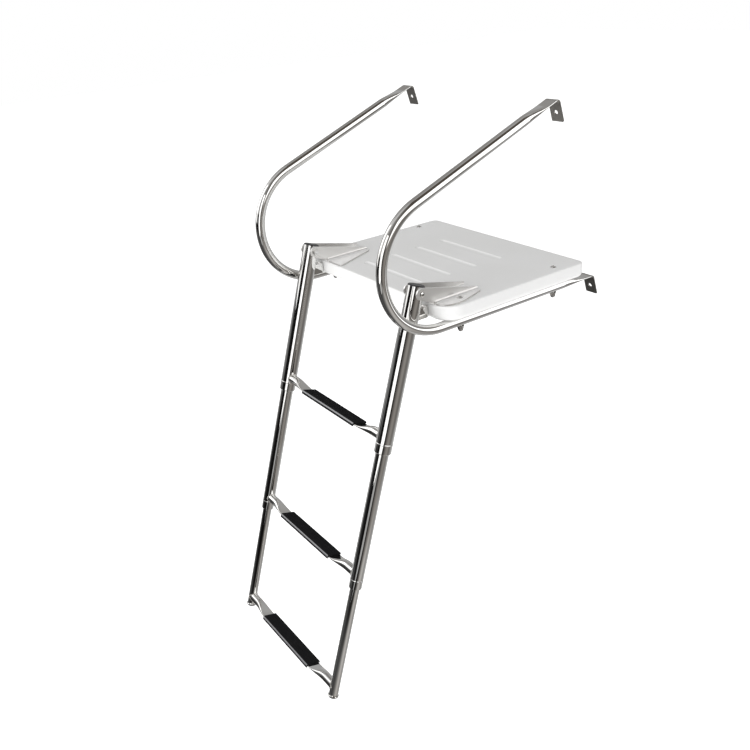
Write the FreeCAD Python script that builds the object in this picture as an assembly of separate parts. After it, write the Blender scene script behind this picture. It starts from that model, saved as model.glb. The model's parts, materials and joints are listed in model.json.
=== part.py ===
import FreeCAD, Part

import math
import os

from FreeCAD import Vector

# A telescopic boarding ladder for the stern of a boat: a moulded platform on two bent
# handrails, with a three-section ladder that hangs from two hinge brackets.
# All sizes are in millimetres. While the pieces are drawn, X runs across the boat with
# zero at the middle, Y runs towards the boat with zero at the ladder's pivots, and Z runs
# up with zero at the top of the platform. Everything is moved to the origin at the end.

# Platform
PLATFORM_WIDTH = 454.0
PLATFORM_DEPTH = 346.0
PLATFORM_THICKNESS = 30.0
PLATFORM_FRONT_CORNER_RADIUS = 40.0
PLATFORM_REAR_CORNER_RADIUS = 14.0
PLATFORM_TOP_EDGE_RADIUS = 3.0
PLATFORM_UNDERSIDE_RADIUS = 11.0
GROOVE_COUNT = 4
GROOVE_END_FROM_SIDE = 134.0
GROOVE_WIDTH = 13.0
GROOVE_DEPTH = 3.0
GROOVE_PITCH = 65.5
FIRST_GROOVE_FROM_FRONT = 54.0

# Handrails, each one bent tube with its two ends pressed flat
RAIL_FROM_PLATFORM_SIDE = 21.0
RAIL_TUBE_DIAMETER = 19.0
RAIL_TUBE_WALL = 1.2
RAIL_BEND_RADIUS = 118.0
RAIL_BEND_CENTRE_BEHIND_PIVOT = 28.0
RAIL_SLOPE_DEGREES = 21.0
PRESSED_THICKNESS = 2.6
PRESSED_RUN = 14.0
PRESSING_LENGTH = 58.0
FLANGE_BEND_RADIUS = 6.0
FLANGE_LENGTH = 42.0
FLANGE_HOLE_FROM_END = 17.0
FLANGE_HOLE_DIAMETER = 8.5
FLANGE_CORNER_RADIUS = 2.5

# Transom of the boat, the sloping face that the flanges are bolted to
TRANSOM_TILT_DEGREES = 17.0
TRANSOM_BEHIND_PIVOT = 393.0

# Hinge
PIVOT_ABOVE_PLATFORM = 26.0
PIVOT_IN_FRONT_OF_PLATFORM = 24.0
PIVOT_RUNNING_CLEARANCE = 0.05
EAR_THICKNESS = 3.0
EAR_END_RADIUS = 11.0
EAR_TAIL_BEHIND_PIVOT = 125.0
EAR_TAIL_HEIGHT = 5.0
EAR_SIDE_CLEARANCE = 0.5
FOOT_THICKNESS = 3.0
FOOT_EDGE_BEYOND_BOLT = 14.0
FOOT_TIP_WIDTH = 8.0
FOOT_FRONT_SETBACK = 2.0
FOOT_SHOULDER_BEFORE_BOLT = 3.0
FOOT_SHOULDER_RADIUS = 30.0
FOOT_TIP_RADIUS = 3.0
FOOT_INWARD_REACH = 70.0
FOOT_INWARD_CORNER_RADIUS = 4.0
BEND_RADIUS_BETWEEN_EARS = 2.5
BEND_RADIUS_OUTSIDE_EARS = 5.7
BEND_RELIEF_DIAMETER = 4.0

# Fasteners, M6 throughout; the domed nuts are blind
BOLT_DIAMETER = 6.0
BOLT_HOLE_CLEARANCE = 0.2
BOLT_HEAD_DIAMETER = 11.0
BOLT_HEAD_HEIGHT = 3.3
BOLT_HEAD_RIM = 0.9
BOLT_POINT_CHAMFER = 0.8
SOCKET_ACROSS_FLATS = 4.0
SOCKET_DEPTH = 2.0
NUT_ACROSS_FLATS = 10.0
NUT_HEIGHT = 5.0
NUT_CHAMFER = 0.6
DOMED_NUT_HEIGHT = 10.5
DOMED_NUT_BLIND_END = 2.0
BOLT_END_BEFORE_BLIND_END = 1.0
WASHER_DIAMETER = 13.0
WASHER_THICKNESS = 1.2
BOLT_END_BEYOND_NUT = 1.5
FRONT_BOLT_BEHIND_PIVOT = 73.0
REAR_BOLT_BEHIND_PIVOT = 305.0

# Ladder
LADDER_LEAN_DEGREES = 18.25
LADDER_TUBE_FROM_RAIL = 32.0
UPPER_TUBE_DIAMETER = 32.0
MIDDLE_TUBE_DIAMETER = 25.4
LOWER_TUBE_DIAMETER = 19.0
LADDER_TUBE_WALL = 1.5
TUBE_TOP_ABOVE_PIVOT = 11.0
UPPER_SECTION_REACH = 301.0
MIDDLE_SECTION_REACH = 580.0
LOWER_SECTION_REACH = 824.0
UPPER_RUNG_DROP = 272.5
MIDDLE_RUNG_DROP = 551.5
LOWER_RUNG_DROP = 801.5
SECTION_OVERLAP = 51.0
SLIDING_CLEARANCE = 0.3

# Collars on the lower ends of the two outer sections, and guides on the tubes inside them
COLLAR_LENGTH = 20.0
COLLAR_BEAD_PROUD = 0.3
COLLAR_BEAD_HEIGHT = 2.6
COLLAR_END_CHAMFER = 1.5
GUIDE_LENGTH = 20.0

# Rungs and their tread pads
RUNG_DIAMETER = 19.0
RUNG_WALL = 1.2
RUNG_PRESSING_LENGTH = 48.0
RUNG_FLAT_BELOW_AXIS = 4.7
RUNG_FLAT_BEYOND_PAD = 2.0
PAD_END_FROM_TUBE_AXIS = 81.0
PAD_THICKNESS = 3.5
PAD_OVERHANG = 1.0
PAD_LIP_DEPTH = 8.0
PAD_LIP_THICKNESS = 2.5
PAD_RIB_COUNT = 5
PAD_RIB_HEIGHT = 0.6
PAD_NOSE_RADIUS = 4.0
PAD_END_ROUNDING = 1.0
PAD_RIB_END_INSET = 3.0

# Stop lugs, which hold the hanging ladder off the platform's front edge
STOP_WIDTH = 15.0
STOP_TOP_BELOW_PLATFORM = 5.0
STOP_HEIGHT = 20.0
STOP_EDGE_RADIUS = 6.0
STOP_GAP = 0.3

# Plugs in the tops of the outer tubes
PLUG_CAP_HEIGHT = 2.0
PLUG_CAP_SETBACK = 0.4
PLUG_CAP_CHAMFER = 1.6
PLUG_ABOVE_PIVOT_BOLT = 2.0

# Feet: a bead rolled round the inner tube's lower end, and a cap pressed into it
FOOT_BEAD_PROUD = 1.5
FOOT_BEAD_HEIGHT = 3.6
FOOT_CAP_RIM = 2.0
FOOT_CAP_RIM_PROUD = 0.8
FOOT_CAP_DEPTH = 12.0

# Values that follow from the sizes above
PLATFORM_FRONT = PIVOT_IN_FRONT_OF_PLATFORM
PLATFORM_REAR = PLATFORM_FRONT + PLATFORM_DEPTH
RAIL_X = PLATFORM_WIDTH / 2 - RAIL_FROM_PLATFORM_SIDE
RAIL_RADIUS = RAIL_TUBE_DIAMETER / 2
RAIL_LOW_Z = -PLATFORM_THICKNESS - RAIL_RADIUS
PRESSED_WIDTH = PRESSED_THICKNESS + math.pi * (RAIL_TUBE_DIAMETER - PRESSED_THICKNESS) / 2
TUBE_X = RAIL_X - LADDER_TUBE_FROM_RAIL
PAD_HALF_LENGTH = TUBE_X - PAD_END_FROM_TUBE_AXIS
LEAN = math.radians(LADDER_LEAN_DEGREES)
TILT = math.radians(TRANSOM_TILT_DEGREES)
SLOPE = math.radians(RAIL_SLOPE_DEGREES)
PIVOT = Vector(0, 0, PIVOT_ABOVE_PLATFORM)
SIDES = {"right": 1, "left": -1}
X_AXIS = Vector(1, 0, 0)
Z_AXIS = Vector(0, 0, 1)
# Directions in the transom's face: down the face, and out of it towards the boat
DOWN_TRANSOM = Vector(0, math.sin(TILT), -math.cos(TILT))
INTO_BOAT = Vector(0, math.cos(TILT), math.sin(TILT))


def cylinder(radius, start, end):
    """A round bar between two points."""
    axis = end - start
    return Part.makeCylinder(radius, axis.Length, start, axis)


def box(x0, x1, y0, y1, z0, z1):
    """A block between two values on each axis."""
    return Part.makeBox(x1 - x0, y1 - y0, z1 - z0, Vector(x0, y0, z0))


def turned(points, centre, axis):
    """A solid of revolution from (radius, height) points, standing at centre along axis."""
    wire = Part.makePolygon([Vector(r, 0, h) for r, h in points + points[:1]])
    solid = Part.Face(wire).revolve(Vector(0, 0, 0), Z_AXIS, 360)
    solid.Placement = FreeCAD.Placement(centre, FreeCAD.Rotation(Z_AXIS, axis))
    return solid


def hex_prism(across_flats, height, base, axis):
    """A hexagonal prism that stands on base along axis."""
    radius = across_flats / math.sqrt(3)
    corners = [Vector(radius * math.cos(math.radians(60 * i)),
                      radius * math.sin(math.radians(60 * i)), 0) for i in range(7)]
    prism = Part.Face(Part.makePolygon(corners)).extrude(Vector(0, 0, height))
    prism.Placement = FreeCAD.Placement(base, FreeCAD.Rotation(Z_AXIS, axis))
    return prism


def edges_along(shape, axis, test):
    """The straight edges of shape that run along axis and pass a test on their middle."""
    found = []
    for edge in shape.Edges:
        if not isinstance(edge.Curve, Part.Line):
            continue
        direction = (edge.Vertexes[-1].Point - edge.Vertexes[0].Point).normalize()
        if abs(abs(direction.dot(axis)) - 1) < 1e-6 and test(edge.CenterOfMass):
            found.append(edge)
    return found


def pressed_section(radius, wall_inset, pressed_half, share, place):
    """The outline of a tube that is pressed flat by share, from 0, round, to 1, flat.

    It is four arcs, of which the upper and lower become straight lines when fully flat.
    wall_inset moves the outline in, for the inside of the tube."""
    flat_half_width = (pressed_half * 2 + math.pi * (radius * 2 - pressed_half * 2) / 2) / 2
    diagonal = radius * math.sqrt(0.5)
    ease = share * share * (3 - 2 * share)

    def mix(a, b):
        return a + (b - a) * ease

    half_height = mix(radius, pressed_half) - wall_inset
    half_width = mix(radius, flat_half_width) - wall_inset
    corner_x = mix(diagonal, flat_half_width - pressed_half) - wall_inset * mix(math.sqrt(0.5), 0)
    corner_h = mix(diagonal, pressed_half) - wall_inset * mix(math.sqrt(0.5), 1)
    points = [(-corner_x, corner_h), (0, half_height), (corner_x, corner_h), (half_width, 0),
              (corner_x, -corner_h), (0, -half_height), (-corner_x, -corner_h), (-half_width, 0)]
    at = [place.multVec(Vector(x, 0, h)) for x, h in points]
    if share == 1:
        flats = [Part.makeLine(at[0], at[2]), Part.makeLine(at[4], at[6])]
    else:
        flats = [Part.Arc(at[0], at[1], at[2]).toShape(), Part.Arc(at[4], at[5], at[6]).toShape()]
    ends = [Part.Arc(at[2], at[3], at[4]).toShape(), Part.Arc(at[6], at[7], at[0]).toShape()]
    return Part.Wire([flats[0], ends[0], flats[1], ends[1]])


def pressed_loft(radius, wall_inset, pressed_half, start, end, up, lowered=0, steps=5):
    """The stretch of tube from round, at start, to pressed flat, at end.

    lowered is how far the flat lies below the round tube's axis."""
    along = (end - start).normalize()
    across = along.cross(up).normalize()
    matrix = FreeCAD.Matrix(across.x, along.x, up.x, 0,
                            across.y, along.y, up.y, 0,
                            across.z, along.z, up.z, 0,
                            0, 0, 0, 1)
    wires = []
    for step in range(steps):
        share = step / (steps - 1)
        place = FreeCAD.Placement(matrix)
        place.Base = start + (end - start) * share - up * (lowered * share * share * (3 - 2 * share))
        wires.append(pressed_section(radius, wall_inset, pressed_half, share, place))
    return Part.makeLoft(wires, True, False)


def platform():
    """The moulded platform, with rounded edges, four drain grooves and four bolt holes."""
    half = PLATFORM_WIDTH / 2
    slab = box(-half, half, PLATFORM_FRONT, PLATFORM_REAR, -PLATFORM_THICKNESS, 0)
    middle = (PLATFORM_FRONT + PLATFORM_REAR) / 2
    front_corners = edges_along(slab, Z_AXIS, lambda c: c.y < middle)
    slab = slab.makeFillet(PLATFORM_FRONT_CORNER_RADIUS, front_corners)
    rear_corners = edges_along(slab, Z_AXIS, lambda c: c.y > PLATFORM_REAR - 1e-6)
    slab = slab.makeFillet(PLATFORM_REAR_CORNER_RADIUS, rear_corners)
    top = [e for e in slab.Edges if abs(e.BoundBox.ZMin) < 1e-6 and abs(e.BoundBox.ZMax) < 1e-6]
    slab = slab.makeFillet(PLATFORM_TOP_EDGE_RADIUS, top)
    low = [e for e in slab.Edges if e.BoundBox.ZMax < 1e-6 - PLATFORM_THICKNESS]
    slab = slab.makeFillet(PLATFORM_UNDERSIDE_RADIUS, low)
    for index in range(GROOVE_COUNT):
        y = PLATFORM_FRONT + FIRST_GROOVE_FROM_FRONT + index * GROOVE_PITCH
        slab = slab.cut(groove(y))
    for x in (-RAIL_X, RAIL_X):
        for y in (FRONT_BOLT_BEHIND_PIVOT, REAR_BOLT_BEHIND_PIVOT):
            slab = slab.cut(cylinder(BOLT_DIAMETER / 2 + BOLT_HOLE_CLEARANCE,
                                     Vector(x, y, -PLATFORM_THICKNESS - 1), Vector(x, y, 1)))
    return slab


def groove(y):
    """A long round-bottomed groove across the platform's top, with round ends."""
    half_width = GROOVE_WIDTH / 2
    radius = (half_width ** 2 + GROOVE_DEPTH ** 2) / (2 * GROOVE_DEPTH)
    centre_z = radius - GROOVE_DEPTH
    reach = PLATFORM_WIDTH / 2 - GROOVE_END_FROM_SIDE - half_width
    bar = cylinder(radius, Vector(-reach, y, centre_z), Vector(reach, y, centre_z))
    ends = [Part.makeSphere(radius, Vector(x, y, centre_z)) for x in (-reach, reach)]
    return bar.multiFuse(ends)


def transom_point(z, depth):
    """The point of the transom's face at height z, moved out of the boat by depth."""
    return Vector(0, TRANSOM_BEHIND_PIVOT - z * math.tan(TILT), z) - INTO_BOAT * depth


def meet_flange(start, direction):
    """Where a line in the rail's plane meets the middle of the pressed flange."""
    middle = transom_point(0, PRESSED_THICKNESS / 2)
    reach = (middle - start).dot(INTO_BOAT) / direction.dot(INTO_BOAT)
    return start + direction * reach


def rail_end(apex, run_direction):
    """One pressed end of a rail: the loft from round to flat, and the bent flange.

    apex is where the run's axis meets the flange. Returns the solid, its hollow and the
    point where the round tube begins."""
    turn = math.acos(run_direction.dot(DOWN_TRANSOM))
    setback = FLANGE_BEND_RADIUS * math.tan(turn / 2)
    bend_start = apex - run_direction * setback
    bend_end = apex + DOWN_TRANSOM * setback
    flange_end = apex + DOWN_TRANSOM * FLANGE_LENGTH
    flat_start = bend_start - run_direction * PRESSED_RUN
    round_end = flat_start - run_direction * PRESSING_LENGTH
    up = X_AXIS.cross(run_direction)
    to_corner = (bend_start - apex).normalize() + DOWN_TRANSOM
    centre = apex + to_corner.normalize() * (FLANGE_BEND_RADIUS / math.cos(turn / 2))
    bend_middle = centre + (apex - centre).normalize() * FLANGE_BEND_RADIUS
    path = Part.Wire([Part.makeLine(flat_start, bend_start),
                      Part.Arc(bend_start, bend_middle, bend_end).toShape(),
                      Part.makeLine(bend_end, flange_end)])
    half_t = PRESSED_THICKNESS / 2
    matrix = FreeCAD.Matrix(1, run_direction.x, up.x, 0,
                            0, run_direction.y, up.y, 0,
                            0, run_direction.z, up.z, 0,
                            0, 0, 0, 1)
    place = FreeCAD.Placement(matrix)
    place.Base = flat_start
    strip = path.makePipe(Part.Face(pressed_section(RAIL_RADIUS, 0, half_t, 1, place)))
    normal = INTO_BOAT
    outline = flange_outline(bend_end, flange_end, normal)
    hole_at = flange_end - DOWN_TRANSOM * FLANGE_HOLE_FROM_END
    hole = cylinder(FLANGE_HOLE_DIAMETER / 2, hole_at - normal * 5, hole_at + normal * 5)
    strip = strip.cut(outline).cut(hole)
    loft = pressed_loft(RAIL_RADIUS, 0, half_t, round_end, flat_start, up)
    hollow = pressed_loft(RAIL_RADIUS, RAIL_TUBE_WALL, half_t, round_end, flat_start, up)
    return strip.fuse(loft), hollow, round_end


def flange_outline(start, end, normal):
    """What is cut off a flange's end to round its two corners."""
    half = PRESSED_WIDTH / 2
    radius = FLANGE_CORNER_RADIUS
    tools = []
    for side in (-1, 1):
        corner = end + X_AXIS * (side * half)
        centre = corner - X_AXIS * (side * radius) - DOWN_TRANSOM * radius
        square = Part.makePolygon([centre, centre + DOWN_TRANSOM * (radius + 1),
                                   centre + DOWN_TRANSOM * (radius + 1) + X_AXIS * (side * (radius + 1)),
                                   centre + X_AXIS * (side * (radius + 1)), centre])
        block = Part.Face(square).extrude(normal * 10)
        block.translate(normal * -5)
        tools.append(block.cut(cylinder(radius, centre - normal * 6, centre + normal * 6)))
    return tools[0].fuse(tools[1])


def handrail(side):
    """A handrail: lower run under the platform, bend round its front, sloping upper run."""
    centre = Vector(0, RAIL_BEND_CENTRE_BEHIND_PIVOT, RAIL_LOW_Z + RAIL_BEND_RADIUS)
    low_tangent = Vector(0, centre.y, RAIL_LOW_Z)
    front = centre - Vector(0, RAIL_BEND_RADIUS, 0)
    high_tangent = centre + Vector(0, -math.sin(SLOPE), math.cos(SLOPE)) * RAIL_BEND_RADIUS
    low_run = Vector(0, 1, 0)
    high_run = Vector(0, math.cos(SLOPE), math.sin(SLOPE))
    low_end, low_hollow, low_round = rail_end(meet_flange(low_tangent, low_run), low_run)
    high_end, high_hollow, high_round = rail_end(meet_flange(high_tangent, high_run), high_run)
    path = Part.Wire([Part.makeLine(low_round, low_tangent),
                      Part.Arc(low_tangent, front, high_tangent).toShape(),
                      Part.makeLine(high_tangent, high_round)])

    def swept(radius):
        circle = Part.Wire(Part.makeCircle(radius, low_round, low_run))
        return path.makePipe(Part.Face(circle))

    solid = swept(RAIL_RADIUS).fuse([low_end, high_end])
    solid = solid.cut([swept(RAIL_RADIUS - RAIL_TUBE_WALL), low_hollow, high_hollow])
    for y in (FRONT_BOLT_BEHIND_PIVOT, REAR_BOLT_BEHIND_PIVOT):
        solid = solid.cut(cylinder(BOLT_DIAMETER / 2 + BOLT_HOLE_CLEARANCE,
                                   Vector(0, y, RAIL_LOW_Z - RAIL_TUBE_DIAMETER),
                                   Vector(0, y, RAIL_LOW_Z + RAIL_TUBE_DIAMETER)))
    solid = solid.removeSplitter()
    solid.translate(Vector(side * RAIL_X, 0, 0))
    return solid


def ear_profile():
    """The side of a hinge ear: a round end about the pivot and a long tapering tail."""
    top_z = EAR_TAIL_HEIGHT + FOOT_THICKNESS
    tail = Vector(0, EAR_TAIL_BEHIND_PIVOT, top_z)
    # The straight top edge runs from the tail's tip to a tangent on the round end
    reach = tail - PIVOT
    lean = math.asin(EAR_END_RADIUS / reach.Length)
    angle = math.atan2(reach.z, reach.y) + math.pi / 2 - lean
    top_touch = PIVOT + Vector(0, math.cos(angle), math.sin(angle)) * EAR_END_RADIUS
    front = PIVOT - Vector(0, EAR_END_RADIUS, 0)
    foot = Vector(0, PLATFORM_FRONT + FOOT_FRONT_SETBACK, FOOT_THICKNESS)
    down = foot - PIVOT
    lean = math.acos(EAR_END_RADIUS / down.Length)
    angle = math.atan2(down.z, down.y) - lean
    low_touch = PIVOT + Vector(0, math.cos(angle), math.sin(angle)) * EAR_END_RADIUS
    tail_foot = Vector(0, EAR_TAIL_BEHIND_PIVOT, FOOT_THICKNESS)
    return Part.Wire([Part.makeLine(tail_foot, tail), Part.makeLine(tail, top_touch),
                      Part.Arc(top_touch, front, low_touch).toShape(),
                      Part.makeLine(low_touch, foot), Part.makeLine(foot, tail_foot)])


def plate_bend(x, towards, radius, front):
    """The rounded corner where an ear's face at x meets the foot, no taller than the ear."""
    centre = Vector(x + towards * radius, front, FOOT_THICKNESS + radius)
    corner = Vector(x, front, FOOT_THICKNESS)
    middle = centre - Vector(towards, 0, 1) * (radius * math.sqrt(0.5))
    arc = Part.Arc(Vector(x, front, centre.z), middle, Vector(centre.x, front, corner.z)).toShape()
    wire = Part.Wire([Part.makeLine(corner, Vector(x, front, centre.z)), arc,
                      Part.makeLine(Vector(centre.x, front, corner.z), corner)])
    bend = Part.Face(wire).extrude(Vector(0, EAR_TAIL_BEHIND_PIVOT - front, 0))
    ear = Part.Face(ear_profile()).extrude(X_AXIS * (4 * radius))
    ear.translate(X_AXIS * (x - 2 * radius))
    return bend.common(ear)


def hinge_bracket(side):
    """A bracket of plate: two ears on a foot that spreads to both sides of them.

    Outwards the foot reaches the platform bolt, inwards it tapers from front to tail."""
    inner_gap = UPPER_TUBE_DIAMETER / 2 + EAR_SIDE_CLEARANCE
    outer = inner_gap + EAR_THICKNESS
    ear = Part.Face(ear_profile())
    pieces = []
    for x in (-outer, inner_gap):
        plate = ear.extrude(X_AXIS * EAR_THICKNESS)
        plate.translate(X_AXIS * (side * TUBE_X + x))
        pieces.append(plate)
    front = PLATFORM_FRONT + FOOT_FRONT_SETBACK
    tail = EAR_TAIL_BEHIND_PIVOT
    far_x = RAIL_X + FOOT_EDGE_BEYOND_BOLT
    tip_x = TUBE_X + outer + FOOT_TIP_WIDTH
    near_x = TUBE_X - FOOT_INWARD_REACH
    near_tip_x = TUBE_X - outer - FOOT_TIP_WIDTH
    shoulder = FRONT_BOLT_BEHIND_PIVOT - FOOT_SHOULDER_BEFORE_BOLT
    outline = [(near_x, front), (far_x, front), (far_x, shoulder), (tip_x, tail), (near_tip_x, tail)]
    wire = Part.makePolygon([Vector(side * x, y, 0) for x, y in outline + outline[:1]])
    foot = Part.Face(wire).extrude(Z_AXIS * FOOT_THICKNESS)
    # The outward front corner starts its rounding at the ear, clear of the platform's corner
    for corner, radius in ((outline[0], FOOT_INWARD_CORNER_RADIUS),
                           (outline[1], far_x - TUBE_X - outer),
                           (outline[2], FOOT_SHOULDER_RADIUS),
                           (outline[3], FOOT_TIP_RADIUS),
                           (outline[4], FOOT_TIP_RADIUS)):
        at_corner = edges_along(foot, Z_AXIS, lambda c: math.hypot(abs(c.x) - corner[0],
                                                                  c.y - corner[1]) < 0.01)
        foot = foot.makeFillet(radius, at_corner)
    for x, towards, radius in ((inner_gap, -1, BEND_RADIUS_BETWEEN_EARS),
                               (-inner_gap, 1, BEND_RADIUS_BETWEEN_EARS),
                               (outer, 1, BEND_RADIUS_OUTSIDE_EARS),
                               (-outer, -1, BEND_RADIUS_OUTSIDE_EARS)):
        pieces.append(plate_bend(side * (TUBE_X + x), side * towards, radius, front))
    solid = foot.fuse(pieces)
    for x in (outer, -outer):
        relief_x = side * (TUBE_X + x + math.copysign(BEND_RELIEF_DIAMETER / 2, x))
        solid = solid.cut(cylinder(BEND_RELIEF_DIAMETER / 2, Vector(relief_x, front, -1),
                                   Vector(relief_x, front,
                                          FOOT_THICKNESS + BEND_RADIUS_OUTSIDE_EARS)))
    bolt_hole = BOLT_DIAMETER / 2 + BOLT_HOLE_CLEARANCE
    x = side * RAIL_X
    solid = solid.cut(cylinder(bolt_hole, Vector(x, FRONT_BOLT_BEHIND_PIVOT, -1),
                               Vector(x, FRONT_BOLT_BEHIND_PIVOT, FOOT_THICKNESS + 1)))
    pivot = PIVOT + X_AXIS * (side * TUBE_X)
    solid = solid.cut(cylinder(BOLT_DIAMETER / 2, pivot - X_AXIS * (outer + 1),
                               pivot + X_AXIS * (outer + 1)))
    return solid.removeSplitter()


def bolt(seat, axis, length):
    """A bolt with a plain shank and a low domed head, with a hexagon socket, on its seat."""
    shank = BOLT_DIAMETER / 2
    head = BOLT_HEAD_DIAMETER / 2
    rise = BOLT_HEAD_HEIGHT - BOLT_HEAD_RIM
    dome = (head ** 2 + rise ** 2) / (2 * rise)
    crown = SOCKET_ACROSS_FLATS / 4

    def on_dome(radius):
        return Vector(radius, 0, BOLT_HEAD_HEIGHT - dome + math.sqrt(dome ** 2 - radius ** 2))

    corners = [Vector(0, 0, on_dome(crown).z), Vector(0, 0, -length),
               Vector(shank - BOLT_POINT_CHAMFER, 0, -length),
               Vector(shank, 0, BOLT_POINT_CHAMFER - length), Vector(shank, 0, 0),
               Vector(head, 0, 0), on_dome(head)]
    edges = [Part.makeLine(a, b) for a, b in zip(corners, corners[1:])]
    edges.append(Part.Arc(on_dome(head), on_dome((head + crown) / 2), on_dome(crown)).toShape())
    edges.append(Part.makeLine(on_dome(crown), corners[0]))
    solid = Part.Face(Part.Wire(edges)).revolve(Vector(0, 0, 0), Z_AXIS, 360)
    socket_floor = Vector(0, 0, BOLT_HEAD_HEIGHT - SOCKET_DEPTH)
    solid = solid.cut(hex_prism(SOCKET_ACROSS_FLATS, SOCKET_DEPTH + 1, socket_floor, Z_AXIS))
    solid.Placement = FreeCAD.Placement(seat, FreeCAD.Rotation(Z_AXIS, axis))
    return solid


def pivot_bolt(side):
    """A pivot bolt, with its head on the outward ear."""
    outer = UPPER_TUBE_DIAMETER / 2 + EAR_SIDE_CLEARANCE + EAR_THICKNESS
    out = X_AXIS * side
    return bolt(PIVOT + out * (TUBE_X + outer), out, 2 * outer + NUT_HEIGHT + BOLT_END_BEYOND_NUT)


def nut(seat, axis, height, blind_end):
    """A hexagon nut that stands on seat along axis.

    With a blind end it is domed and closed: blind_end is the thickness over the bore."""
    corner = NUT_ACROSS_FLATS / math.sqrt(3)
    flat = NUT_ACROSS_FLATS / 2
    bore = BOLT_DIAMETER / 2
    hexagon = hex_prism(NUT_ACROSS_FLATS, NUT_HEIGHT, Vector(0, 0, 0), Z_AXIS)
    ground = turned([(0, 0), (flat, 0), (corner, NUT_CHAMFER), (corner, NUT_HEIGHT - NUT_CHAMFER),
                     (flat, NUT_HEIGHT), (0, NUT_HEIGHT)], Vector(0, 0, 0), Z_AXIS)
    solid = hexagon.common(ground)
    if blind_end:
        dome = height - flat
        slant = flat * math.sqrt(0.5)
        edges = [Part.makeLine(Vector(0, 0, height), Vector(0, 0, 0)),
                 Part.makeLine(Vector(0, 0, 0), Vector(flat, 0, 0)),
                 Part.makeLine(Vector(flat, 0, 0), Vector(flat, 0, dome)),
                 Part.Arc(Vector(flat, 0, dome), Vector(slant, 0, dome + slant),
                          Vector(0, 0, height)).toShape()]
        cap = Part.Face(Part.Wire(edges)).revolve(Vector(0, 0, 0), Z_AXIS, 360)
        solid = solid.fuse(cap)
    solid = solid.cut(cylinder(bore, Vector(0, 0, -1), Vector(0, 0, height - blind_end)))
    solid = solid.removeSplitter()
    solid.Placement = FreeCAD.Placement(seat, FreeCAD.Rotation(Z_AXIS, axis))
    return solid


def pivot_nut(side):
    """The nut of a pivot bolt, on the inward ear."""
    outer = UPPER_TUBE_DIAMETER / 2 + EAR_SIDE_CLEARANCE + EAR_THICKNESS
    out = X_AXIS * side
    return nut(PIVOT + out * (TUBE_X - outer), out * -1, NUT_HEIGHT, 0)


def platform_bolt(side, y, seat_z):
    """A bolt down through the platform and the rail, with its head at seat_z."""
    end_z = (RAIL_LOW_Z - RAIL_RADIUS - WASHER_THICKNESS - DOMED_NUT_HEIGHT
             + DOMED_NUT_BLIND_END + BOLT_END_BEFORE_BLIND_END)
    return bolt(Vector(side * RAIL_X, y, seat_z), Z_AXIS, seat_z - end_z)


def platform_nut(side, y):
    """The washer and the domed nut under the rail, made as one piece."""
    seat = Vector(side * RAIL_X, y, RAIL_LOW_Z - RAIL_RADIUS)
    down = Vector(0, 0, -1)
    washer = cylinder(WASHER_DIAMETER / 2, seat, seat + down * WASHER_THICKNESS)
    washer = washer.cut(cylinder(BOLT_DIAMETER / 2, seat - down, seat + down * (WASHER_THICKNESS + 1)))
    domed = nut(seat + down * WASHER_THICKNESS, down, DOMED_NUT_HEIGHT, DOMED_NUT_BLIND_END)
    return washer.fuse(domed).removeSplitter()


def ladder_tube(side, diameter, top, bottom):
    """A ladder tube, drawn hanging straight down from the pivot at height zero."""
    x = side * TUBE_X
    solid = cylinder(diameter / 2, Vector(x, 0, bottom), Vector(x, 0, top))
    bore = diameter / 2 - LADDER_TUBE_WALL
    return solid.cut(cylinder(bore, Vector(x, 0, bottom - 1), Vector(x, 0, top + 1)))


def upper_tube(side):
    """The outer tube, with its pivot hole."""
    tube = ladder_tube(side, UPPER_TUBE_DIAMETER, TUBE_TOP_ABOVE_PIVOT,
                       COLLAR_LENGTH - UPPER_SECTION_REACH)
    hole = BOLT_DIAMETER / 2 + PIVOT_RUNNING_CLEARANCE
    x = side * TUBE_X
    return tube.cut(cylinder(hole, Vector(x - UPPER_TUBE_DIAMETER, 0, 0),
                             Vector(x + UPPER_TUBE_DIAMETER, 0, 0)))


def lower_tube(side):
    """The inner tube, with the bead rolled round its lower end."""
    radius = LOWER_TUBE_DIAMETER / 2
    bore = radius - LADDER_TUBE_WALL
    top = SECTION_OVERLAP + LOWER_SECTION_REACH - MIDDLE_SECTION_REACH
    low = FOOT_CAP_RIM
    quarter = FOOT_BEAD_HEIGHT / 4
    bead = radius + FOOT_BEAD_PROUD
    profile = [(bore, low), (bead - quarter, low), (bead, low + quarter), (bead, low + 2 * quarter),
               (bead - quarter, low + 3 * quarter), (radius, low + FOOT_BEAD_HEIGHT + quarter),
               (radius, top), (bore, top)]
    return turned(profile, Vector(side * TUBE_X, 0, -LOWER_SECTION_REACH), Z_AXIS)


def collar(side, outer_diameter, inner_diameter, reach):
    """The collar on a section's lower end, with a bead at the joint and a bush up the tube."""
    tube = outer_diameter / 2
    bore = inner_diameter / 2 + SLIDING_CLEARANCE
    bead = tube + COLLAR_BEAD_PROUD
    bush = tube - LADDER_TUBE_WALL
    bush_top = SECTION_OVERLAP - GUIDE_LENGTH - SLIDING_CLEARANCE
    third = COLLAR_BEAD_HEIGHT / 3
    profile = [(bore, 0), (tube - COLLAR_END_CHAMFER, 0), (tube, COLLAR_END_CHAMFER),
               (tube, COLLAR_LENGTH - 3 * third), (bead, COLLAR_LENGTH - 2 * third),
               (bead, COLLAR_LENGTH - third), (tube, COLLAR_LENGTH), (bush, COLLAR_LENGTH),
               (bush, bush_top), (bore, bush_top)]
    return turned(profile, Vector(side * TUBE_X, 0, -reach), Z_AXIS)


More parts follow.
